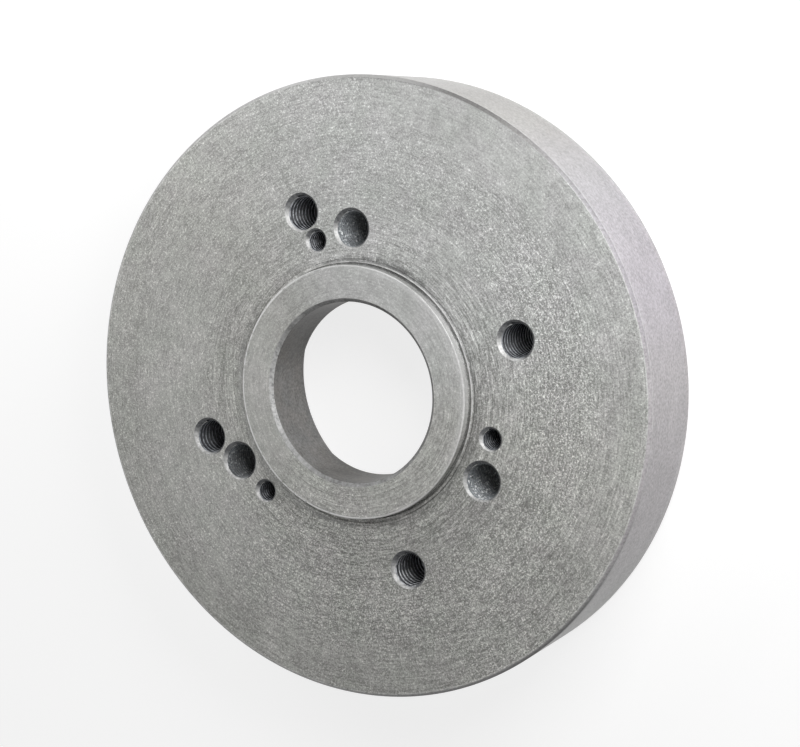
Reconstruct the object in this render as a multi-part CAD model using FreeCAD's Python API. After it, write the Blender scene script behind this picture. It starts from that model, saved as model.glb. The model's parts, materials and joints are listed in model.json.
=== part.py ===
import FreeCAD, Part
import math
import os

os.makedirs("parts", exist_ok=True)

# Chuck backplate: a turned iron disc that carries a lathe chuck on a short taper camlock spindle.
# It lies on its back face. +Z is the spindle axis, towards the chuck, and one stud hole is on +Y.
# All lengths are millimetres and all angles are degrees.

# Disc
disc_d = 159.5
disc_t = 27.0
front_edge_chamfer = 0.8
back_edge_chamfer = 1.0

# Register, the raised boss that centres the chuck body
register_d = 65.0
register_h = 2.8
register_edge_chamfer = 0.3

# Round undercut in the corner at the foot of the register, so that the chuck seats flat on the face
undercut_r = 0.6

# Bore through the middle
bore_d = 46.4
bore_front_chamfer = 0.9
bore_back_chamfer = 0.3

# Spindle recess in the back, a short taper that is largest at the back face
taper_large_d = 63.513
taper_half_angle = 7.125
recess_depth = 15.5
recess_mouth_chamfer = 0.5
recess_relief_depth = 0.8
recess_relief_w = 2.5

# Chuck bolt holes, tapped right through and countersunk on both faces
bolt_circle_d = 95.0
bolt_count = 4
bolt_tap_drill_d = 8.5
bolt_countersink_d = 10.0
bolt_angle_from_stud = -12.0

# Camlock stud holes, tapped through, with a seat for the stud's body in the back
stud_count = 3
stud_tap_drill_d = 9.0
stud_mouth_d = 10.3
stud_body_d = 15.9
stud_body_clearance = 0.4
stud_seat_depth = 7.0
stud_first_angle = 90.0

# Metal left between the mouth of the taper and a stud seat, which sets the stud circle at 82.55
stud_seat_wall = 1.3685

# Lock screw holes, each beside a stud hole and a little nearer the axis, with a seat for the cap head
lock_tap_drill_d = 5.0
lock_mouth_d = 6.2
lock_head_d = 10.0
lock_head_clearance = 1.0
lock_seat_depth = 6.5
lock_inset = 1.775

# How far a lock screw's head reaches into the side of the stud's body to hold it
lock_bite = 2.0

# Sizes that follow from those above
stud_seat_d = stud_body_d + stud_body_clearance
lock_seat_d = lock_head_d + lock_head_clearance
stud_circle_d = taper_large_d + stud_seat_d + 2 * stud_seat_wall
lock_circle_d = stud_circle_d - 2 * lock_inset

# How far a cutting tool's shape stands out of the metal that it cuts
tool_overrun = 2.0


def point(radius, height):
    """A point of a half section, in the plane of X and Z."""
    return FreeCAD.Vector(radius, 0, height)


def line(start, end):
    """A straight edge of a half section."""
    return Part.LineSegment(point(*start), point(*end)).toShape()


def outline(corners):
    """The straight edges that join the corners of a half section, in order."""
    return [line(start, end) for start, end in zip(corners, corners[1:])]


def turned(edges):
    """The solid that a closed half section makes when it turns about the axis."""
    section = Part.Face(Part.Wire(edges))
    return section.revolve(FreeCAD.Vector(0, 0, 0), FreeCAD.Vector(0, 0, 1), 360)


def taper_radius(height):
    """The recess wall's radius at a height above the back face."""
    return taper_large_d / 2 - height * math.tan(math.radians(taper_half_angle))


def recess_outline():
    """Mouth, taper, relief groove and floor of the spindle recess, from the back face to the bore."""
    bore_r = bore_d / 2
    relief_start = recess_depth - recess_relief_w
    relief_r = taper_radius(relief_start) + recess_relief_depth
    return outline([
        (taper_radius(0) + recess_mouth_chamfer, 0),
        (taper_radius(recess_mouth_chamfer), recess_mouth_chamfer),
        (taper_radius(relief_start), relief_start),
        (relief_r, relief_start + recess_relief_depth),
        (relief_r, recess_depth),
        (bore_r + bore_back_chamfer, recess_depth),
        (bore_r, recess_depth + bore_back_chamfer),
    ])


def register_outline():
    """Bore wall, register face and register wall, from the recess to the undercut."""
    bore_r = bore_d / 2
    register_r = register_d / 2
    top = disc_t + register_h
    return outline([
        (bore_r, recess_depth + bore_back_chamfer),
        (bore_r, top - bore_front_chamfer),
        (bore_r + bore_front_chamfer, top),
        (register_r - register_edge_chamfer, top),
        (register_r, top - register_edge_chamfer),
        (register_r, disc_t + undercut_r),
    ])


def undercut():
    """The undercut's arc, centred on the corner, from the register's wall round to the front face."""
    corner_r = register_d / 2
    start = point(corner_r, disc_t + undercut_r)
    middle = point(corner_r - undercut_r * math.sqrt(0.5), disc_t - undercut_r * math.sqrt(0.5))
    end = point(corner_r + undercut_r, disc_t)
    return Part.Arc(start, middle, end).toShape()


def face_and_rim_outline():
    """Front face, rim and back face, from the undercut to the mouth of the recess."""
    disc_r = disc_d / 2
    return outline([
        (register_d / 2 + undercut_r, disc_t),
        (disc_r - front_edge_chamfer, disc_t),
        (disc_r, disc_t - front_edge_chamfer),
        (disc_r, back_edge_chamfer),
        (disc_r - back_edge_chamfer, 0),
        (taper_radius(0) + recess_mouth_chamfer, 0),
    ])


def blank():
    """The turned disc with its register and recess, before any hole is drilled."""
    edges = recess_outline() + register_outline() + [undercut()] + face_and_rim_outline()
    return turned(edges)


def drill(corners):
    """A cutting solid on the axis, from the corners of its half section, lowest first."""
    lowest = corners[0][1]
    highest = corners[-1][1]
    return turned(outline([(0, lowest)] + corners + [(0, highest), (0, lowest)]))


def bolt_drill():
    """Tap drill with a countersink for each face."""
    hole_r = bolt_tap_drill_d / 2
    sink = bolt_countersink_d / 2 - hole_r
    wide_r = hole_r + sink + tool_overrun
    return drill([
        (wide_r, -tool_overrun),
        (hole_r, sink),
        (hole_r, disc_t - sink),
        (wide_r, disc_t + tool_overrun),
    ])


def stepped_drill(hole_d, mouth_d, seat_d, seat_depth):
    """Tap drill with a flat seat in the back face and a chamfered mouth in the front face."""
    hole_r = hole_d / 2
    seat_r = seat_d / 2
    sink = mouth_d / 2 - hole_r
    return drill([
        (seat_r, -tool_overrun),
        (seat_r, seat_depth),
        (hole_r, seat_depth),
        (hole_r, disc_t - sink),
        (hole_r + sink + tool_overrun, disc_t + tool_overrun),
    ])


def around(tool, circle_d, first_angle, count):
    """Copies of a tool, spaced evenly on a circle about the axis."""
    copies = []
    for number in range(count):
        angle = math.radians(first_angle + number * 360 / count)
        place = FreeCAD.Vector(math.cos(angle), math.sin(angle), 0) * (circle_d / 2)
        copies.append(tool.translated(place))
    return copies


def lock_angle_from_stud():
    """The angle at the axis between a stud and its lock screw, from the triangle of their centres."""
    stud_r = stud_circle_d / 2
    lock_r = lock_circle_d / 2
    apart = stud_body_d / 2 + lock_head_d / 2 - lock_bite
    return math.degrees(math.acos((stud_r**2 + lock_r**2 - apart**2) / (2 * stud_r * lock_r)))


def hole_tools():
    """Every hole that is drilled in the blank."""
    stud_tool = stepped_drill(stud_tap_drill_d, stud_mouth_d, stud_seat_d, stud_seat_depth)
    lock_tool = stepped_drill(lock_tap_drill_d, lock_mouth_d, lock_seat_d, lock_seat_depth)
    bolt_angle = stud_first_angle + bolt_angle_from_stud
    lock_angle = stud_first_angle + lock_angle_from_stud()
    return (
        around(bolt_drill(), bolt_circle_d, bolt_angle, bolt_count)
        + around(stud_tool, stud_circle_d, stud_first_angle, stud_count)
        + around(lock_tool, lock_circle_d, lock_angle, stud_count)
    )


backplate = blank().cut(hole_tools())
backplate.exportStep("parts/backplate.step")

print("solids", len(backplate.Solids), "valid", backplate.isValid(), "volume", round(backplate.Volume))
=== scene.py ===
import json
import math
from collections import namedtuple

import bmesh
import bpy
from mathutils import Matrix, Vector


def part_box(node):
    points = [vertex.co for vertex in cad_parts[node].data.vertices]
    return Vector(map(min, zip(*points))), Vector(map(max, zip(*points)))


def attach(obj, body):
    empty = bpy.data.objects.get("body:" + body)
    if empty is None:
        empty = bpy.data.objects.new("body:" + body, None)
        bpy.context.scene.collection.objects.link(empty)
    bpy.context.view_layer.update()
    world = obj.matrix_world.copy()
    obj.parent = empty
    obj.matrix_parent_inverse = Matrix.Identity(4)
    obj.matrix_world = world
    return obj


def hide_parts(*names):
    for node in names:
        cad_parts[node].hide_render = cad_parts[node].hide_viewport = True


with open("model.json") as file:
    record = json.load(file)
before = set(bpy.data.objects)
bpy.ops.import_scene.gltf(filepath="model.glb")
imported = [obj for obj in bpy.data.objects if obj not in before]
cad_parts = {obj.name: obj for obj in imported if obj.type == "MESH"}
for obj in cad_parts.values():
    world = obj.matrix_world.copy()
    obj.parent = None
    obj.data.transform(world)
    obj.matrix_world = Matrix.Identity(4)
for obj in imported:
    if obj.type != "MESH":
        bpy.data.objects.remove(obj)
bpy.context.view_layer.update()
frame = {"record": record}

# A turned iron chuck backplate, lying on its back face on a pale floor.
# Lengths are millimetres and angles degrees until a mesh is done, which is then scaled to metres.
# Z is the spindle axis, and heights are measured from the back face.

metre = 0.001
mounts = {mount["name"]: mount for mount in frame["record"]["mounts"]}
plate_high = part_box("backplate")[1]

# Turned outline
disc_r = plate_high.x / metre
top_z = plate_high.z / metre
face_z = mounts["chuck_face"]["pos_m"][2] / metre
front_edge_chamfer = 0.8
back_edge_chamfer = 1.0
rim_round = 0.35
register_r = mounts["register"]["dims"]["r_mm"]
register_edge_chamfer = 0.25
undercut_r = 0.6
undercut_out = 0.5
undercut_low = 0.35
dip_start_r = 33.2
dip_low_r = 33.5
dip_round = 0.2
dip_depth = 0.06
tool_line_r = 33.85
tool_line_half_w = 0.12
tool_line_depth = 0.14
dip_end_r = 34.0
bore_r = mounts["centre_bore"]["dims"]["r_mm"]
bore_front_chamfer = 0.9
bore_back_chamfer = 0.3
taper_large_r = 63.513 / 2
taper_half_angle = 7.125
recess_depth = 15.5
recess_mouth_chamfer = 0.5
recess_relief_depth = 0.8
recess_relief_w = 2.5

# Small rounding of turned corners, and how finely round shapes are divided
corner_round = 0.12
round_steps = 3
undercut_steps = 12
turn_steps = 288
hole_steps = 64
thread_steps = 32
sharp_angle = 30.0

# Threaded holes evenly spaced on a circle. The spare turns of the thread are cut below the seat or the back.
HoleGroup = namedtuple(
    "HoleGroup",
    "name circle_r count hole_r first_angle mouth_r pitch thread_r seat_r seat_depth spare_turns",
)


def hole_group(name, mount, **sizes):
    """A group of holes with its circle, count and drill from the record's mount."""
    dims = mounts[mount]["dims"]
    return HoleGroup(name, dims["pcd_mm"] / 2, dims["count"], dims["hole_r_mm"], **sizes)


# Chuck bolt holes, M10
bolt_holes = hole_group(
    "bolt",
    "chuck_bolt_holes",
    first_angle=78.0,
    mouth_r=5.0,
    pitch=1.5,
    thread_r=5.0,
    seat_r=0.0,
    seat_depth=0.0,
    spare_turns=4,
)

# Camlock stud holes, M10 fine
stud_holes = hole_group(
    "stud",
    "stud_holes",
    first_angle=90.0,
    mouth_r=5.15,
    pitch=1.0,
    thread_r=5.0,
    seat_r=8.15,
    seat_depth=7.0,
    spare_turns=3,
)

# Lock screw holes, M6
lock_holes = hole_group(
    "lock",
    "lock_screw_holes",
    first_angle=105.378,
    mouth_r=3.1,
    pitch=1.0,
    thread_r=3.0,
    seat_r=5.5,
    seat_depth=6.5,
    spare_turns=3,
)

# The countersinks on the front run a little to one side, towards this heading, and all have a soft edge
mouth_shift = 0.3
mouth_heading = -12.0
mouth_soft = 0.08

# How far a cutter stands out of the metal
overrun = 2.0

# The plate's finishes, in the order of their materials on the mesh
finish_names = ("face", "rim", "bore", "thread", "edge", "stud", "bore_edge")

# Colours of wear and painted highlights, of dirt and painted shade, and plain white
wear_and_highlight_white = (0.72, 0.72, 0.715, 1)
dirt_and_shade = (0.05, 0.05, 0.05, 1)
white = (1, 1, 1, 1)

# Floor, a hair below the plate, in metres
floor_half = 3
floor_drop = 0.0001
floor_white = (0.8, 0.8, 0.8, 1)
floor_lit = (0.3, 0.3, 0.3, 1)
floor_glow = 0.8

# Light: each lamp's name, its place and size in metres, and its power in watts
fill_strength = 0.1
near_key = ("near_key", (0.0375, -0.193, 0.158), 0.14, 0.50)
low_key = ("low_key", (-0.076, -0.433, 0.114), 0.30, 0.30)
side_lamp = ("side", (0.185, 0.067, 0.158), 0.13, 0.18)
lamp_target = (0.0, 0.0, 0.02)

# Camera, with its place in metres
camera_place = (-0.057009, -0.224093, 0.409388)
camera_ahead = (0.12469, 0.47750, -0.86974)
camera_up = (0.88252, -0.45398, -0.12272)
camera_lens = 78.979
camera_shift = (-0.0008, 0.0008)
camera_sensor = 36.0


def new_object(name, bm):
    """An object that holds the mesh, with its faces turned outward."""
    bmesh.ops.recalc_face_normals(bm, faces=bm.faces)
    mesh = bpy.data.meshes.new(name)
    bm.to_mesh(mesh)
    bm.free()
    thing = bpy.data.objects.new(name, mesh)
    bpy.context.scene.collection.objects.link(thing)
    return thing


def taper_radius(height):
    """The recess wall's radius at a height above the back face."""
    return taper_large_r - height * math.tan(math.radians(taper_half_angle))


def round_corner(before, corner, after, radius):
    """Points of the arc that rounds one corner of a section."""
    here = Vector(corner)
    back = (Vector(before) - here).normalized()
    ahead = (Vector(after) - here).normalized()
    half = back.angle(ahead) / 2
    reach = radius / math.tan(half)
    centre = here + (back + ahead).normalized() * radius / math.sin(half)
    first = (here + back * reach - centre).normalized()
    last = (here + ahead * reach - centre).normalized()
    return [centre + first.slerp(last, step / round_steps) * radius for step in range(round_steps + 1)]


def rounded(corners):
    """A closed section with its marked corners rounded. Each corner is (radius, height, rounding)."""
    points = []
    for number, (radius, height, rounding) in enumerate(corners):
        before = corners[number - 1][:2]
        after = corners[(number + 1) % len(corners)][:2]
        if rounding:
            points += round_corner(before, (radius, height), after, rounding)
        else:
            points.append(Vector((radius, height)))
    return points


def recess_corners():
    """The short taper recess with its relief groove, from the back face to the bore."""
    relief_start = recess_depth - recess_relief_w
    relief_r = taper_radius(relief_start) + recess_relief_depth
    return [
        (taper_radius(0) + recess_mouth_chamfer, 0, 0),
        (taper_radius(recess_mouth_chamfer), recess_mouth_chamfer, 0),
        (taper_radius(relief_start), relief_start, 0),
        (relief_r, relief_start + recess_relief_depth, 0),
        (relief_r, recess_depth, 0),
        (bore_r + bore_back_chamfer, recess_depth, 0),
        (bore_r, recess_depth + bore_back_chamfer, 0),
    ]


def register_corners():
    """The raised register, from the bore to its outer wall."""
    return [
        (bore_r, top_z - bore_front_chamfer, corner_round),
        (bore_r + bore_front_chamfer, top_z, corner_round),
        (register_r - register_edge_chamfer, top_z, corner_round),
        (register_r, top_z - register_edge_chamfer, corner_round),
    ]


def undercut_corners():
    """The round undercut at the foot of the register, which is shallower in the face."""
    points = []
    for step in range(undercut_steps + 1):
        angle = math.radians(90 + 270 * step / undercut_steps)
        across = math.cos(angle)
        rise = math.sin(angle)
        reach = undercut_out if across > 0 else undercut_r
        depth = undercut_r if rise > 0 else undercut_low
        points.append((register_r + reach * across, face_z + depth * rise, 0))
    return points


def dip_corners():
    """The shallow dip beside the undercut, which ends in a fine tool line."""
    return [
        (dip_start_r, face_z, 0),
        (dip_low_r, face_z - dip_depth, dip_round),
        (tool_line_r - tool_line_half_w, face_z - dip_depth, 0),
        (tool_line_r, face_z - tool_line_depth, 0),
        (dip_end_r, face_z, 0),
    ]


def rim_corners():
    """The chamfered rim, from the face down to the back."""
    return [
        (disc_r - front_edge_chamfer, face_z, rim_round),
        (disc_r, face_z - front_edge_chamfer, rim_round),
        (disc_r, back_edge_chamfer, rim_round),
        (disc_r - back_edge_chamfer, 0, rim_round),
    ]


def plate_section():
    """The half section of the plate, from the back face up the bore and down the rim."""
    return rounded(recess_corners() + register_corners() + undercut_corners() + dip_corners() + rim_corners())


def turned(name, points, steps, closed):
    """A solid made by turning a section about Z. An open section starts and ends on the axis."""
    bm = bmesh.new()
    verts = [bm.verts.new((point[0], 0, point[1])) for point in points]
    edges = [bm.edges.new(pair) for pair in zip(verts, verts[1:])]
    if closed:
        edges.append(bm.edges.new((verts[-1], verts[0])))
    bmesh.ops.spin(
        bm,
        geom=verts + edges,
        cent=(0, 0, 0),
        axis=(0, 0, 1),
        angle=2 * math.pi,
        steps=steps,
        use_merge=True,
    )
    bmesh.ops.remove_doubles(bm, verts=bm.verts, dist=1e-5)
    return new_object(name, bm)


def thread_profile(holes):
    """One turn of an inner thread as (height within the turn, radius)."""
    flank = (holes.thread_r - holes.hole_r) * math.tan(math.radians(30))
    crest = holes.pitch * 0.22
    root = holes.pitch - crest - 2 * flank
    ease = holes.pitch * 0.03
    dip = ease * 0.7
    return [
        (0, holes.hole_r + dip),
        (ease, holes.hole_r),
        (crest - ease, holes.hole_r),
        (crest, holes.hole_r + dip),
        (crest + flank, holes.thread_r),
        (crest + flank + root, holes.thread_r),
    ]


def thread_grid(bm, holes, low, turns):
    """A thread's points in rows that climb one pitch round the axis, and the number of rows in a turn."""
    profile = thread_profile(holes)
    rows = len(profile)
    grid = []
    for row in range(turns * rows + 1):
        lift, radius = profile[row % rows]
        ring = []
        for step in range(thread_steps):
            turn = step / thread_steps
            height = low + holes.pitch * (row // rows + turn) + lift
            angle = 2 * math.pi * turn
            ring.append(bm.verts.new((radius * math.cos(angle), radius * math.sin(angle), height)))
        grid.append(ring)
    return grid, rows


def thread_walls(bm, grid, rows):
    """Faces between the rows. The end of a row meets the start of the row one turn above."""
    last = len(grid) - 1
    for row in range(last):
        for step in range(thread_steps):
            if step + 1 < thread_steps:
                corners = (grid[row][step], grid[row][step + 1], grid[row + 1][step + 1], grid[row + 1][step])
            elif row + 1 + rows <= last:
                corners = (grid[row][step], grid[row + rows][0], grid[row + 1 + rows][0], grid[row + 1][step])
            else:
                continue
            bm.faces.new(corners)


def close_ends(bm, middle):
    """Closes the open ends below and above the middle, each with a fan of faces."""
    boundary = [edge for edge in bm.edges if edge.is_boundary]
    for lower in (True, False):
        loop = [edge for edge in boundary if (edge.verts[0].co.z < middle) == lower]
        mean = sum(edge.verts[0].co.z for edge in loop) / len(loop)
        hub = bm.verts.new((0, 0, mean))
        for edge in loop:
            bm.faces.new((edge.verts[0], edge.verts[1], hub))


def thread_cutter(holes):
    """The space inside a threaded hole on the Z axis, which runs out in the countersink."""
    high = face_z - (holes.mouth_r - holes.hole_r) - 0.7 * holes.pitch
    low = holes.seat_depth - holes.spare_turns * holes.pitch
    turns = math.ceil((high - low) / holes.pitch)
    low = high - turns * holes.pitch
    bm = bmesh.new()
    grid, rows = thread_grid(bm, holes, low, turns)
    thread_walls(bm, grid, rows)
    close_ends(bm, (low + high) / 2)
    return new_object(holes.name + "_thread", bm)


def front_mouth(holes):
    """The countersink in the front face, a little to one side."""
    tool = countersink(holes.name + "_mouth", holes, face_z, 1)
    angle = math.radians(mouth_heading)
    shift = Vector((mouth_shift * math.cos(angle), mouth_shift * math.sin(angle), 0))
    tool.data.transform(Matrix.Translation(shift))
    return tool


def countersink(name, holes, height, up):
    """A countersink with a softly rounded edge, for the face at that height."""
    sink = holes.mouth_r - holes.hole_r
    section = [
        (0, -sink - 0.2),
        (holes.hole_r - 0.2, -sink - 0.2),
        (holes.mouth_r - mouth_soft, -mouth_soft),
        (holes.mouth_r - mouth_soft * 0.2, -mouth_soft * 0.35),
        (holes.mouth_r + mouth_soft * 0.6, 0),
        (holes.mouth_r + mouth_soft * 0.6, overrun),
        (0, overrun),
    ]
    points = [(radius, height + up * depth) for radius, depth in section]
    return turned(name, points, hole_steps, False)


def cylinder(name, radius, low, high):
    """A round cutter on the Z axis."""
    points = [(0, low), (radius, low), (radius, high), (0, high)]
    return turned(name, points, hole_steps, False)


def hole_tools(holes):
    """The cutters of one hole: drill, thread, front countersink, and a seat or countersink at the back."""
    drill = cylinder(holes.name + "_drill", holes.hole_r, -overrun, face_z + overrun)
    thread = thread_cutter(holes)
    mouth = front_mouth(holes)
    if holes.seat_depth:
        back = cylinder(holes.name + "_seat", holes.seat_r, -overrun, holes.seat_depth)
    else:
        back = countersink(holes.name + "_back", holes, 0, -1)
    return drill, thread, mouth, back


def centres(holes):
    """The places of a group's holes in the plane of the face."""
    places = []
    for number in range(holes.count):
        angle = math.radians(holes.first_angle + number * 360 / holes.count)
        places.append((holes.circle_r * math.cos(angle), holes.circle_r * math.sin(angle)))
    return places


def copies(tool, holes):
    """The tool's mesh repeated at each hole of the group, as one object."""
    bm = bmesh.new()
    for x, y in centres(holes):
        before = len(bm.verts)
        bm.from_mesh(tool.data)
        bm.verts.ensure_lookup_table()
        bmesh.ops.translate(bm, vec=Vector((x, y, 0)), verts=bm.verts[before:])
    name = tool.name + "_all"
    bpy.data.objects.remove(tool)
    return new_object(name, bm)


def cut(body, tool):
    """Takes the tool's shape out of the body, and removes the tool."""
    step = body.modifiers.new("cut", "BOOLEAN")
    step.operation = "DIFFERENCE"
    step.solver = "MANIFOLD"
    step.object = tool
    bpy.context.view_layer.update()
    depsgraph = bpy.context.evaluated_depsgraph_get()
    mesh = bpy.data.meshes.new_from_object(body.evaluated_get(depsgraph))
    body.modifiers.remove(step)
    body.data = mesh
    bpy.data.objects.remove(tool)


def nearest_hole(point, places):
    """The hole whose axis is nearest to a point, as (x, y, group), and the distance to that axis."""
    hole = min(places, key=lambda place: math.hypot(point.x - place[0], point.y - place[1]))
    return hole[2], math.hypot(point.x - hole[0], point.y - hole[1])


def face_kind(face, places):
    """The name of the finish that a face takes."""
    centre = face.calc_center_median()
    radius = math.hypot(centre.x, centre.y)
    level = abs(face.normal.z) > 0.999
    holes, away = nearest_hole(centre, places)
    if away < holes.mouth_r + 0.4 and not level:
        sunk = face_z - centre.z
        if sunk < holes.mouth_r - holes.hole_r + 0.3 and face.normal.z > 0.35:
            return "edge"
        return "stud" if holes is stud_holes else "thread"
    if radius > disc_r - front_edge_chamfer * 0.99:
        return "rim"
    if centre.z > face_z and bore_r + 0.05 < radius < bore_r + bore_front_chamfer + 0.05:
        return "bore_edge"
    if radius < bore_r + 0.05 or (0.01 < centre.z < recess_depth + 0.5 and radius < taper_large_r + 0.3):
        return "bore"
    return "face"


def mark_crests(bm, places):
    """Stores how near each point of a thread is to the crest, from 0 at the root to 1."""
    crest = bm.verts.layers.float.new("crest")
    for vert in bm.verts:
        holes, away = nearest_hole(vert.co, places)
        if away < holes.thread_r + 0.1:
            vert[crest] = min(1, max(0, (holes.thread_r - away) / (holes.thread_r - holes.hole_r)))


def slope(face):
    """1 for a level face, 2 for an upright one, 0 for any other."""
    tilt = abs(face.normal.z)
    return 1 if tilt > 0.9999 else 2 if tilt < 0.001 else 0


def finish_mesh(plate):
    """Materials, smooth shading with sharp edges, and the height of each point on a thread's flank."""
    places = [(x, y, holes) for holes in (bolt_holes, stud_holes, lock_holes) for x, y in centres(holes)]
    bm = bmesh.new()
    bm.from_mesh(plate.data)
    bm.normal_update()
    mark_crests(bm, places)
    for face in bm.faces:
        face.smooth = True
        face.material_index = finish_names.index(face_kind(face, places))
    for edge in bm.edges:
        if len(edge.link_faces) == 2:
            one, other = edge.link_faces
            angle = one.normal.angle(other.normal, 0)
            edge.smooth = slope(one) == slope(other) and angle < math.radians(sharp_angle)
    bm.to_mesh(plate.data)
    bm.free()
    plate.data.transform(Matrix.Scale(metre, 4))
    plate.data.update()


def node(tree, kind, sets=None, **properties):
    """A new node with its properties and inputs set. An input is a value or another node's output."""
    made = tree.nodes.new("ShaderNode" + kind)
    for key, value in properties.items():
        setattr(made, key, value)
    for key, value in (sets or {}).items():
        if isinstance(value, bpy.types.NodeSocket):
            tree.links.new(value, made.inputs[key])
        else:
            made.inputs[key].default_value = value
    return made


def maths(tree, operation, *values):
    """The output of a Math node."""
    sets = dict(enumerate(values))
    return node(tree, "Math", sets, operation=operation).outputs[0]


def ramp(tree, value, low, high, to_low=0.0, to_high=1.0):
    """A value taken smoothly from one range to another and held at the ends."""
    sets = {"Value": value, "From Min": low, "From Max": high, "To Min": to_low, "To Max": to_high}
    return node(tree, "MapRange", sets, interpolation_type="SMOOTHSTEP").outputs[0]


def noise(tree, vector, scale, detail=2.0, roughness=0.5):
    """Noise between 0 and 1 with features of about 1 / scale metres."""
    sets = {"Vector": vector, "Scale": scale, "Detail": detail, "Roughness": roughness}
    return node(tree, "TexNoise", sets).outputs[0]


def flattened(tree, vector):
    """A vector's length and its heading in the plane of the face, and its height."""
    parts = node(tree, "SeparateXYZ", {0: vector})
    flat = node(tree, "CombineXYZ", {"X": parts.outputs["X"], "Y": parts.outputs["Y"]}).outputs[0]
    length = node(tree, "VectorMath", {0: flat}, operation="LENGTH").outputs["Value"]
    heading = node(tree, "VectorMath", {0: flat}, operation="NORMALIZE").outputs["Vector"]
    return length, heading, parts.outputs["Z"]


def toward(tree, heading, azimuth, full, fade):
    """1 within full degrees of an azimuth, falling to 0 over fade degrees more."""
    angle = math.radians(azimuth)
    aim = (math.cos(angle), math.sin(angle), 0)
    along = node(tree, "VectorMath", {0: heading, 1: aim}, operation="DOT_PRODUCT").outputs["Value"]
    return ramp(tree, along, math.cos(math.radians(min(180, full + fade))), math.cos(math.radians(full)))


class Finish:
    """A material of the plate, whose body colour is built up from masks on the turned surface."""

    def __init__(self, name, metallic, roughness):
        self.material = bpy.data.materials.new(name)
        self.material.use_nodes = True
        self.tree = self.material.node_tree
        self.shader = self.tree.nodes["Principled BSDF"]
        self.shader.inputs["Metallic"].default_value = metallic
        self.shader.inputs["Roughness"].default_value = roughness
        self.point = node(self.tree, "TexCoord").outputs["Object"]
        self.radius, self.heading, self.height = flattened(self.tree, self.point)
        self.body = None

    def times(self, first, *others):
        """The product of some masks."""
        for other in others:
            first = maths(self.tree, "MULTIPLY", first, other)
        return first

    def weighed(self, start, *parts):
        """A starting value plus each (value, middle, weight) part."""
        total = start
        for value, middle, weight in parts:
            share = self.times(maths(self.tree, "SUBTRACT", value, middle), weight)
            total = maths(self.tree, "ADD", total, share)
        return total

    def fade(self, mask, first, last):
        """A value that is first where the mask is 0 and last where it is 1."""
        return ramp(self.tree, mask, 0.0, 1.0, first, last)

    def outward(self, start, end, first=0.0, last=1.0):
        """A value that goes from first to last between two distances from the axis."""
        return ramp(self.tree, self.radius, start * metre, end * metre, first, last)

    def upward(self, start, end, first=0.0, last=1.0):
        """A value that goes from first to last between two heights."""
        return ramp(self.tree, self.height, start * metre, end * metre, first, last)

    def between(self, value, low, high, soft):
        """1 between two lengths and 0 outside them, with soft ends."""
        rise = ramp(self.tree, value, (low - soft) * metre, (low + soft) * metre)
        fall = ramp(self.tree, value, (high - soft) * metre, (high + soft) * metre, 1.0, 0.0)
        return self.times(rise, fall)

    def ring(self, low, high, soft):
        """1 between two distances from the axis."""
        return self.between(self.radius, low, high, soft)

    def by_register(self, low, high, soft):
        """1 between two distances outside the register's wall. A distance inside it is negative."""
        return self.ring(register_r + low, register_r + high, soft)

    def above_face(self, low, high, soft):
        """1 between two heights above the chuck face. A height below it is negative."""
        return self.between(self.height, face_z + low, face_z + high, soft)

    def side(self, azimuth, full, fade):
        """1 on that side of the axis."""
        return toward(self.tree, self.heading, azimuth, full, fade)

    def facing(self, azimuth, full, fade):
        """1 where the surface faces that way."""
        normal = flattened(self.tree, node(self.tree, "TexCoord").outputs["Normal"])[1]
        return toward(self.tree, normal, azimuth, full, fade)

    def noise(self, scale, detail=2.0, roughness=0.5):
        """Noise between 0 and 1 with features of about 1 / scale metres."""
        return noise(self.tree, self.point, scale, detail, roughness)

    def ring_noise(self, width, length):
        """Noise drawn out along circles about the axis, in marks of about that width and length."""
        sets = {0: self.heading, "Scale": 50 / length}
        turn = node(self.tree, "VectorMath", sets, operation="SCALE").outputs[0]
        across = maths(self.tree, "ADD", self.radius, self.height)
        lift = node(self.tree, "CombineXYZ", {"Z": self.times(across, 1 / (width * metre))}).outputs[0]
        vector = node(self.tree, "VectorMath", {0: turn, 1: lift}, operation="ADD").outputs[0]
        return noise(self.tree, vector, 1.0, 1.5)

    def contour(self, field, width):
        """1 along the lines where a noise is a half, and 0 where it is further off than the width."""
        away = maths(self.tree, "ABSOLUTE", maths(self.tree, "SUBTRACT", field, 0.5))
        return ramp(self.tree, away, 0.0, width, 1.0, 0.0)

    def marks(self, size, width):
        """Thin winding marks of that size. The width is a share of the noise's range."""
        line = self.contour(self.noise(1 / (size * metre), 1.0), width)
        gaps = ramp(self.tree, self.noise(1.7 / (size * metre), 0.0), 0.42, 0.6)
        return self.times(line, gaps)

    def arcs(self):
        """A few long thin scratches along circles about the axis."""
        line = self.contour(self.ring_noise(0.6, 45), 0.025)
        place = ramp(self.tree, self.ring_noise(2.5, 18), 0.5, 0.65)
        return self.times(line, place)

    def crest(self):
        """How near the surface is to a thread's crest."""
        return node(self.tree, "Attribute", attribute_name="crest").outputs["Fac"]

    def mix(self, share, one, other):
        """A colour between two others."""
        return node(self.tree, "Mix", {0: share, 6: one, 7: other}, data_type="RGBA").outputs[2]

    def tint(self, share, one, other):
        """Multiplies the body colour by a colour between two others."""
        sets = {0: 1.0, 6: self.body, 7: self.mix(share, one, other)}
        self.body = node(self.tree, "Mix", sets, data_type="RGBA", blend_type="MULTIPLY").outputs[2]

    def shade(self, share, *masks, colour=dirt_and_shade):
        """Turns the body colour towards another where all the masks are 1, by that share at most. The default
        colour is dark, for dirt and for painted shade.
        """
        self.body = self.mix(self.times(share, *masks), self.body, colour)

    def add_wear_and_highlight(self, share, *masks):
        """Turns the body colour towards pale worn iron where all the masks are 1, for wear and for painted
        highlights.
        """
        self.shade(share, *masks, colour=wear_and_highlight_white)

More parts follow.
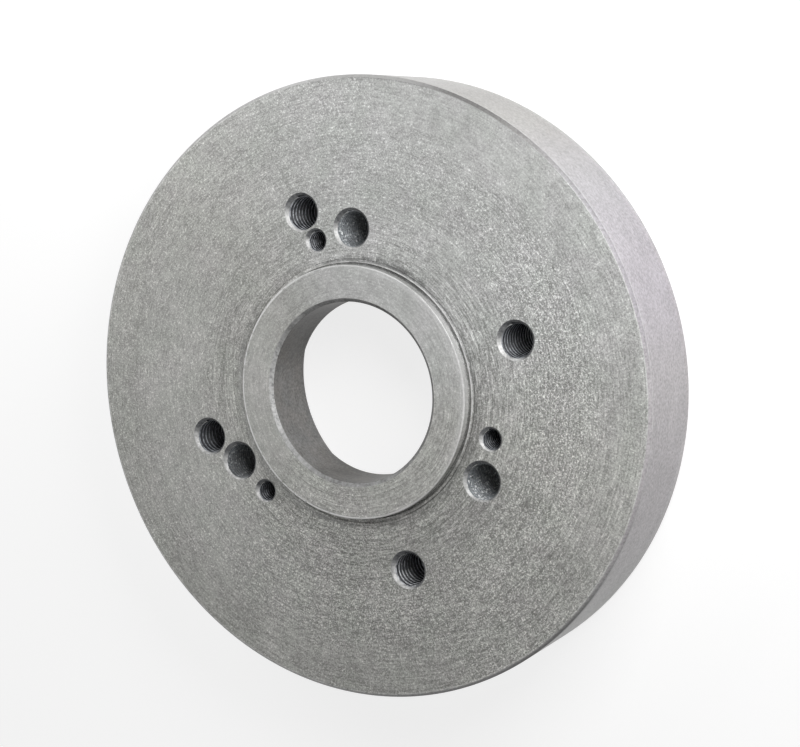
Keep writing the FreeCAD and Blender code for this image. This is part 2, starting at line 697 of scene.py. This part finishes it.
    def roughen(self, height, depth):
        """Fine relief of that depth."""
        sets = {"Height": height, "Strength": 1.0, "Distance": depth * metre}
        self.tree.links.new(node(self.tree, "Bump", sets).outputs[0], self.shader.inputs["Normal"])

    def done(self):
        """The material, with the body colour on its shader."""
        self.tree.links.new(self.body, self.shader.inputs["Base Color"])
        return self.material


def face_speckle(finish, grain):
    """Light flakes and dark pits in turned grain, which are quieter in some places."""
    speckle = finish.weighed(
        0.0,
        (finish.ring_noise(0.4, 1.2), 0.5, 0.9),
        (finish.marks(0.85, 0.06), 0.12, 0.8),
        (finish.marks(0.5, 0.08), 0.15, 0.4),
        (finish.marks(1.5, 0.03), 0.08, -0.25),
    )
    near_rim = finish.outward(58, 74)
    inside = finish.outward(42, 52, 1.0, 0.0)
    quieter = (
        (near_rim, finish.side(-98, 36, 40), 0.62),
        (near_rim, finish.side(138, 22, 22), 0.5),
        (inside, finish.side(-105, 26, 26), 0.45),
        (inside, finish.side(-172, 16, 22), 0.35),
    )
    for ring, side, loss in quieter:
        speckle = finish.times(speckle, finish.fade(finish.times(ring, side), 1.0, 1.0 - loss))
    return finish.weighed(speckle, (grain, 0.5, 1.1))


def face_tone(finish, grain, on_register):
    """How light the face is: speckle, tool marks that fade away from the register, and soft blotches."""
    coarse = finish.fade(finish.side(-165, 45, 75), 0.75, 1.3)
    calm = finish.times(finish.fade(on_register, 1.0, 0.55), coarse)
    near_register = finish.outward(33, 55, 1.0, 0.4)
    speckle = face_speckle(finish, grain)
    streak = finish.ring_noise(0.45, 4)
    circle = finish.ring_noise(0.3, 60)
    lines = finish.weighed(0.0, (streak, 0.5, 0.9), (circle, 0.5, 0.6), (finish.arcs(), 0.1, 0.4))
    tone = finish.weighed(
        0.5,
        (finish.times(speckle, calm), 0.0, 0.7),
        (finish.times(lines, finish.times(near_register, calm)), 0.0, 0.9),
        (finish.noise(330, 2.0), 0.5, 0.3),
        (finish.noise(60, 1.0), 0.5, 0.2),
    )
    return maths(finish.tree, "POWER", maths(finish.tree, "MAXIMUM", tone, 0.0), 1.5)


def face_painted_light_and_shade(finish, on_register):
    """Painted light and shade: wide areas of the register and the face, on some sides, painted a little
    lighter or darker.
    """
    finish.add_wear_and_highlight(0.12, on_register, finish.side(-64, 30, 40))
    finish.add_wear_and_highlight(0.08, on_register, finish.side(66, 15, 30))
    finish.shade(0.08, on_register, finish.side(-8, 12, 22))
    off_register = finish.outward(36, 42)
    finish.shade(0.09, off_register, finish.side(180, 15, 40))
    finish.shade(0.07, off_register, finish.side(12, 12, 28))
    finish.add_wear_and_highlight(0.09, finish.ring(46, 68, 5), finish.side(80, 30, 40))


def register_foot_painted_shadow(finish, on_face, patchy):
    """Painted shadow in the undercut and the dip round the register, with painted light on the lit slope of
    the undercut and behind the register.
    """
    near_side = finish.side(-108, 50, 25)
    right_end = finish.side(-47, 10, 20)
    foot = finish.by_register(-2.5, 0.46, 0.06)
    # Painted shadow at the foot of the register and in rings round it, on the sides where the register hides
    # the lamps.
    finish.shade(0.2, foot, on_face, near_side)
    finish.shade(0.35, foot, on_face, finish.side(-152, 14, 26))
    finish.shade(0.45, foot, on_face, right_end)
    finish.shade(0.55, finish.by_register(0.4, 0.8, 0.08), on_face, finish.side(-166, 14, 18))
    halo = finish.by_register(1.1, 2.4, 0.5)
    finish.shade(0.18, halo, on_face, near_side)
    finish.shade(0.2, finish.by_register(1.7, 3.5, 0.6), on_face, finish.side(25, 18, 22))
    finish.shade(0.26, finish.by_register(1.1, 4.0, 0.8), on_face, finish.side(-162, 15, 38))
    finish.shade(0.55, halo, on_face, right_end, patchy)
    finish.shade(0.45, finish.by_register(0.7, 1.4, 0.12), on_face, finish.side(-36, 15, 12))
    # Painted light behind the register on the far side.
    finish.add_wear_and_highlight(0.16, finish.by_register(1.6, 3.1, 0.5), on_face, finish.side(95, 40, 20))
    # A wide area darker on one side.
    finish.shade(0.14, finish.by_register(3.5, 17.5, 4), finish.side(172, 20, 50))
    # The tool line darkened on the near sides.
    tool_line = finish.ring(tool_line_r - tool_line_half_w, tool_line_r + tool_line_half_w, 0.06)
    finish.shade(0.7, tool_line, on_face, finish.side(-118, 56, 14))
    # Painted highlight on the lit slope of the undercut, and painted shade low on the wall above it.
    finish.add_wear_and_highlight(0.5, finish.by_register(0.2, 0.6, 0.06), on_face, finish.side(-96, 12, 14))
    wall_foot = finish.times(finish.above_face(0.05, 0.75, 0.1), foot)
    finish.shade(0.3, wall_foot, finish.side(-94, 14, 16))


def wall_wear_and_painted_light(finish, on_face, rubbed_and_lit):
    """The lip of the undercut, worn in patches and painted with a highlight on the lit side, and the
    register's wall with a painted highlight on one side and painted shade on another.
    """
    lip = finish.by_register(0.52, 0.85, 0.06)
    finish.add_wear_and_highlight(0.75, lip, on_face, finish.side(-95, 20, 45), rubbed_and_lit)
    on_wall = finish.between(finish.height, face_z + 0.6, top_z - 0.3, 0.1)
    # Painted highlight and painted shade on the wall, by side.
    finish.add_wear_and_highlight(0.35, on_wall, finish.side(-108, 12, 28))
    finish.shade(0.25, on_wall, finish.side(-47, 10, 20))


def register_edge_wear_and_painted_light(finish, rubbed_and_lit):
    """The register's edge, worn bright in patches and painted with highlights on some sides, with painted
    shade on the side that faces the lamps.
    """
    crown = finish.upward(top_z - 0.35, top_z - 0.2)
    far_side = finish.side(76, 60, 40)
    top_end = finish.side(163, 12, 20)
    edge = finish.by_register(-0.3, 0.3, 0.05)
    # Painted shade where the lamps light the edge most, then painted highlights on other sides, worn in
    # patches on the far side.
    finish.shade(0.22, edge, crown, finish.side(-88, 18, 20))
    finish.add_wear_and_highlight(0.5, edge, crown, finish.side(-150, 25, 20))
    finish.add_wear_and_highlight(0.35, edge, crown, finish.side(-38, 14, 12))
    finish.add_wear_and_highlight(0.9, edge, crown, top_end)
    finish.add_wear_and_highlight(0.8, edge, crown, rubbed_and_lit, far_side)
    inner_edge = finish.by_register(-0.6, -0.15, 0.08)
    finish.add_wear_and_highlight(0.85, inner_edge, crown, rubbed_and_lit, far_side)
    finish.add_wear_and_highlight(0.4, inner_edge, crown, top_end)
    finish.add_wear_and_highlight(0.25, finish.by_register(-1.3, 0, 0.3), crown, finish.side(-95, 35, 40))


def face_finish():
    """The turned faces: speckled grey iron with light flecks, faint circular tool marks, and painted light
    and shade.
    """
    finish = Finish("iron_face", 0.2, 0.5)
    grain = finish.noise(2100, 3.0, 0.65)
    on_register = finish.upward(face_z + 1.0, face_z + 1.2)
    tone = face_tone(finish, grain, on_register)
    finish.body = finish.mix(tone, (0.16, 0.16, 0.152, 1), (0.79, 0.79, 0.765, 1))
    finish.tint(finish.noise(110, 1.0), (0.97, 1.0, 0.97, 1), (1.03, 1.0, 1.03, 1))
    finish.tint(finish.side(-60, 20, 60), (1.0, 1.0, 0.985, 1), (0.99, 1.0, 1.015, 1))
    face_painted_light_and_shade(finish, on_register)
    rub_noise = finish.noise(700)
    # Patches where edges are worn and, on the lit sides, painted with highlights.
    rubbed_and_lit = ramp(finish.tree, rub_noise, 0.25, 0.5)
    patchy = ramp(finish.tree, rub_noise, 0.35, 0.6)
    on_face = finish.upward(face_z + 0.5, face_z + 0.75, 1.0, 0.0)
    register_foot_painted_shadow(finish, on_face, patchy)
    wall_wear_and_painted_light(finish, on_face, rubbed_and_lit)
    register_edge_wear_and_painted_light(finish, rubbed_and_lit)
    # The outer edge of the face, worn bright in patches and painted with highlights on most sides, with
    # painted shade on one side.
    finish.add_wear_and_highlight(0.45, finish.ring(disc_r - 1.1, disc_r - 0.65, 0.06), patchy, finish.side(130, 130, 20))
    finish.shade(0.3, finish.ring(disc_r - 0.95, disc_r - 0.45, 0.06), finish.side(-46, 14, 14))
    finish.roughen(grain, 0.02)
    return finish.done()


def rim_painted_shade(finish):
    """Painted shade on the front chamfer on two sides, and below it on two more."""
    chamfer = finish.above_face(-front_edge_chamfer, 0.1, 0.08)
    finish.shade(0.45, chamfer, finish.side(-74, 22, 24))
    finish.shade(0.45, chamfer, finish.side(-43, 11, 16))
    finish.shade(0.2, finish.above_face(-1.5, -0.22, 0.3), finish.side(-155, 12, 18))
    finish.shade(0.6, finish.above_face(-2.2, -0.22, 0.4), finish.side(178, 14, 24))


def rim_wear_and_painted_highlights(finish):
    """Painted highlights on the rim on some sides and at its edges, the last of them worn in patches."""
    finish.add_wear_and_highlight(0.3, finish.side(-30, 8, 14))
    back_edge = finish.between(finish.height, -1.0, 3.2, 1.2)
    finish.add_wear_and_highlight(0.16, back_edge, finish.side(-152, 16, 20))
    finish.add_wear_and_highlight(0.12, back_edge, finish.side(-62, 25, 25))
    corner = finish.above_face(-1.4, -0.3, 0.3)
    finish.add_wear_and_highlight(0.3, corner, finish.side(2, 14, 18))
    finish.add_wear_and_highlight(0.45, corner, finish.side(88, 10, 16))
    rubbed_and_lit = ramp(finish.tree, finish.noise(700), 0.3, 0.6)
    finish.add_wear_and_highlight(0.4, finish.above_face(-1.3, -0.85, 0.12), rubbed_and_lit, finish.side(-92, 25, 25))


def rim_finish():
    """The turned rim: smoother, cooler on one side, with painted shade on its chamfer and painted highlights
    on some sides and at its edges.
    """
    finish = Finish("iron_rim", 0.2, 0.45)
    grain = finish.noise(1500, 3.0, 0.6)
    mottle = finish.noise(160)
    streak = finish.ring_noise(0.3, 25)
    specks = ramp(finish.tree, finish.noise(420, 1.0), 0.2, 0.26, 1.0, 0.0)
    tone = finish.weighed(0.5, (grain, 0.5, 2.8), (mottle, 0.5, 0.6), (streak, 0.5, 0.4), (specks, 0.0, -0.9))
    finish.body = finish.mix(tone, (0.31, 0.305, 0.3, 1), (0.52, 0.515, 0.51, 1))
    finish.tint(finish.side(-118, 18, 26), white, (1.0, 0.962, 1.0, 1))
    finish.tint(finish.side(-88, 10, 18), white, (0.995, 0.985, 1.03, 1))
    finish.tint(finish.side(-50, 14, 18), white, (0.965, 0.955, 0.935, 1))
    rim_painted_shade(finish)
    rim_wear_and_painted_highlights(finish)
    finish.roughen(grain, 0.012)
    return finish.done()


def bore_finish():
    """The bore and the spindle recess: darker and browner, with painted light on the side of the wall that
    faces the lamps.
    """
    finish = Finish("iron_bore", 0.2, 0.45)
    grain = finish.noise(1600, 3.0)
    mottle = finish.noise(220)
    streak = finish.ring_noise(0.4, 20)
    tone = finish.weighed(0.5, (grain, 0.5, 1.9), (mottle, 0.5, 0.9), (streak, 0.5, 0.5))
    light = finish.mix(tone, (0.12, 0.118, 0.115, 1), (0.29, 0.285, 0.278, 1))
    dark = finish.mix(tone, (0.042, 0.04, 0.037, 1), (0.13, 0.126, 0.118, 1))
    # Painted light: a lighter copy on the side of the wall that faces the lamps, a darker one elsewhere.
    finish.body = finish.mix(finish.side(82, 8, 45), dark, light)
    finish.tint(finish.noise(180, 1.0), (1.06, 1.0, 0.95, 1), (0.96, 1.0, 1.03, 1))
    finish.roughen(grain, 0.01)
    return finish.done()


def thread_finish():
    """The bolt and lock screw threads: nearly black with a blue tint, painted shade in the thread, and crests
    worn and painted with highlights, brightest in the holes at two headings.
    """
    finish = Finish("iron_thread", 0.1, 0.45)
    finish.shader.inputs["Specular IOR Level"].default_value = 0.3
    rubbed_and_lit = ramp(finish.tree, finish.crest(), 0.8, 1.0)
    broken = ramp(finish.tree, finish.noise(900), 0.35, 0.6, 0.3, 1.0)
    # Crest colour, painted with brighter highlights in the holes at two headings; the roots near black,
    # painted shade.
    bright = finish.mix(finish.side(168, 12, 15), (0.42, 0.44, 0.47, 1), (0.85, 0.87, 0.9, 1))
    bright = finish.mix(finish.side(-12, 12, 15), bright, (0.6, 0.62, 0.66, 1))
    finish.body = finish.mix(finish.times(rubbed_and_lit, broken), (0.014, 0.016, 0.02, 1), bright)
    return finish.done()


def stud_finish():
    """The stud threads: duller and rougher, with small bright flecks, painted light on walls that face away
    from the lamps, and painted shade and highlights on some lit walls.
    """
    finish = Finish("iron_stud_thread", 0.1, 0.5)
    finish.shader.inputs["Specular IOR Level"].default_value = 0.3
    grain = finish.noise(1700, 3.0, 0.65)
    tone = finish.weighed(0.4, (grain, 0.5, 2.8), (finish.crest(), 0.5, 0.8))
    fleck = ramp(finish.tree, finish.noise(1500), 0.57, 0.66)
    finish.body = finish.mix(tone, (0.045, 0.05, 0.056, 1), (0.31, 0.33, 0.345, 1))
    finish.shade(fleck, colour=(0.62, 0.64, 0.65, 1))
    # Painted light on the walls that face away from the lamps.
    finish.shade(0.4, finish.facing(76, 40, 50), colour=(0.5, 0.52, 0.53, 1))
    # On the lit walls, painted shade in the holes on one side and painted highlights among the flecks on
    # another.
    lit_side = finish.facing(-70, 40, 40)
    finish.shade(0.5, lit_side, finish.side(90, 15, 20))
    finish.add_wear_and_highlight(0.35, lit_side, finish.side(-150, 15, 20), fleck)
    finish.roughen(grain, 0.03)
    return finish.done()


def chamfer_tone(finish, grain):
    """A patchy tone for the rubbed chamfers."""
    return finish.weighed(0.4, (grain, 0.5, 1.8), (finish.noise(260, 1.0), 0.5, 1.5))


def edge_finish():
    """The countersinks: painted light where they face the lamps and painted shade on the other side."""
    finish = Finish("iron_edge", 0.2, 0.5)
    grain = finish.noise(1500, 3.0)
    tone = chamfer_tone(finish, grain)
    bright = finish.mix(tone, (0.26, 0.26, 0.255, 1), (0.62, 0.62, 0.615, 1))
    dark = finish.mix(tone, (0.045, 0.047, 0.05, 1), (0.21, 0.213, 0.216, 1))
    # Painted light and shade: the lit copy where the countersink faces the lamps, the shaded copy elsewhere.
    finish.body = finish.mix(finish.facing(-72, 35, 45), dark, bright)
    finish.roughen(grain, 0.02)
    return finish.done()


def bore_edge_finish():
    """The chamfer at the front of the bore, worn in patches and painted with a highlight on one side."""
    finish = Finish("iron_bore_edge", 0.2, 0.5)
    grain = finish.noise(1500, 3.0)
    tone = chamfer_tone(finish, grain)
    finish.body = finish.mix(tone, (0.15, 0.15, 0.148, 1), (0.34, 0.34, 0.337, 1))
    worn_and_lit = ramp(finish.tree, finish.noise(1400), 0.3, 0.6, 0.3, 1.3)
    # Painted highlight on one side, broken into worn patches.
    finish.add_wear_and_highlight(0.4, finish.side(57, 8, 30), worn_and_lit)
    finish.roughen(grain, 0.02)
    return finish.done()


def make_plate():
    """The plate, in place of its plain solid."""
    plate = turned("plate", plate_section(), turn_steps, True)
    for holes in (bolt_holes, stud_holes, lock_holes):
        for tool in hole_tools(holes):
            cut(plate, copies(tool, holes))
    finishes = {
        "face": face_finish(),
        "rim": rim_finish(),
        "bore": bore_finish(),
        "thread": thread_finish(),
        "edge": edge_finish(),
        "stud": stud_finish(),
        "bore_edge": bore_edge_finish(),
    }
    plate.data.materials.clear()
    for name in finish_names:
        plate.data.materials.append(finishes[name])
    finish_mesh(plate)
    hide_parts("backplate")
    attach(plate, "root")


def shown(tree):
    """1 for a ray that shows the background to the camera, to metal or through glass, else 0."""
    path = node(tree, "LightPath")
    either = maths(tree, "MAXIMUM", path.outputs["Is Camera Ray"], path.outputs["Is Glossy Ray"])
    return maths(tree, "MAXIMUM", either, path.outputs["Is Transmission Ray"])


def make_floor():
    """A wide pale floor that stays white round the object and keeps its shadow."""
    bm = bmesh.new()
    bmesh.ops.create_grid(bm, x_segments=1, y_segments=1, size=floor_half)
    floor = new_object("floor", bm)
    floor.location.z = -floor_drop
    material = bpy.data.materials.new("floor")
    material.use_nodes = True
    tree = material.node_tree
    tree.nodes.clear()
    plain_white = node(tree, "BsdfDiffuse", {"Color": floor_white})
    soft_white = node(tree, "BsdfDiffuse", {"Color": floor_lit})
    glow = node(tree, "Emission", {"Color": white, "Strength": floor_glow})
    lit = node(tree, "AddShader", {0: soft_white.outputs[0], 1: glow.outputs[0]})
    choice = node(tree, "MixShader", {0: shown(tree), 1: plain_white.outputs[0], 2: lit.outputs[0]})
    node(tree, "OutputMaterial", {"Surface": choice.outputs[0]})
    floor.data.materials.append(material)


def make_world():
    """White where it is seen, and a soft fill light elsewhere."""
    world = bpy.data.worlds.new("studio")
    bpy.context.scene.world = world
    world.use_nodes = True
    tree = world.node_tree
    background = tree.nodes["Background"]
    background.inputs["Color"].default_value = white
    strength = ramp(tree, shown(tree), 0, 1, fill_strength, 1)
    tree.links.new(strength, background.inputs["Strength"])


def make_lamp(name, place, size, power):
    """A soft square lamp that faces the plate."""
    lamp = bpy.data.lights.new(name, "AREA")
    lamp.shape = "SQUARE"
    lamp.size = size
    lamp.energy = power
    thing = bpy.data.objects.new(name, lamp)
    thing.location = place
    aim = Vector(lamp_target) - Vector(place)
    thing.rotation_euler = aim.to_track_quat("-Z", "Y").to_euler()
    thing.visible_camera = False
    bpy.context.scene.collection.objects.link(thing)


def make_camera():
    """The photograph's camera, which looks down on the plate and is turned about its own axis."""
    camera = bpy.data.cameras.new("camera")
    camera.sensor_width = camera_sensor
    camera.lens = camera_lens
    camera.shift_x, camera.shift_y = camera_shift
    camera.clip_start = 0.01
    thing = bpy.data.objects.new("camera", camera)
    ahead = Vector(camera_ahead).normalized()
    right = ahead.cross(Vector(camera_up)).normalized()
    up = right.cross(ahead)
    turn = Matrix((right, up, -ahead)).transposed()
    thing.matrix_world = Matrix.Translation(camera_place) @ turn.to_4x4()
    bpy.context.scene.collection.objects.link(thing)
    bpy.context.scene.camera = thing


make_camera()
make_plate()
make_floor()
make_world()
for lamp in (near_key, low_key, side_lamp):
    make_lamp(*lamp)
bpy.context.scene.view_settings.view_transform = "Standard"
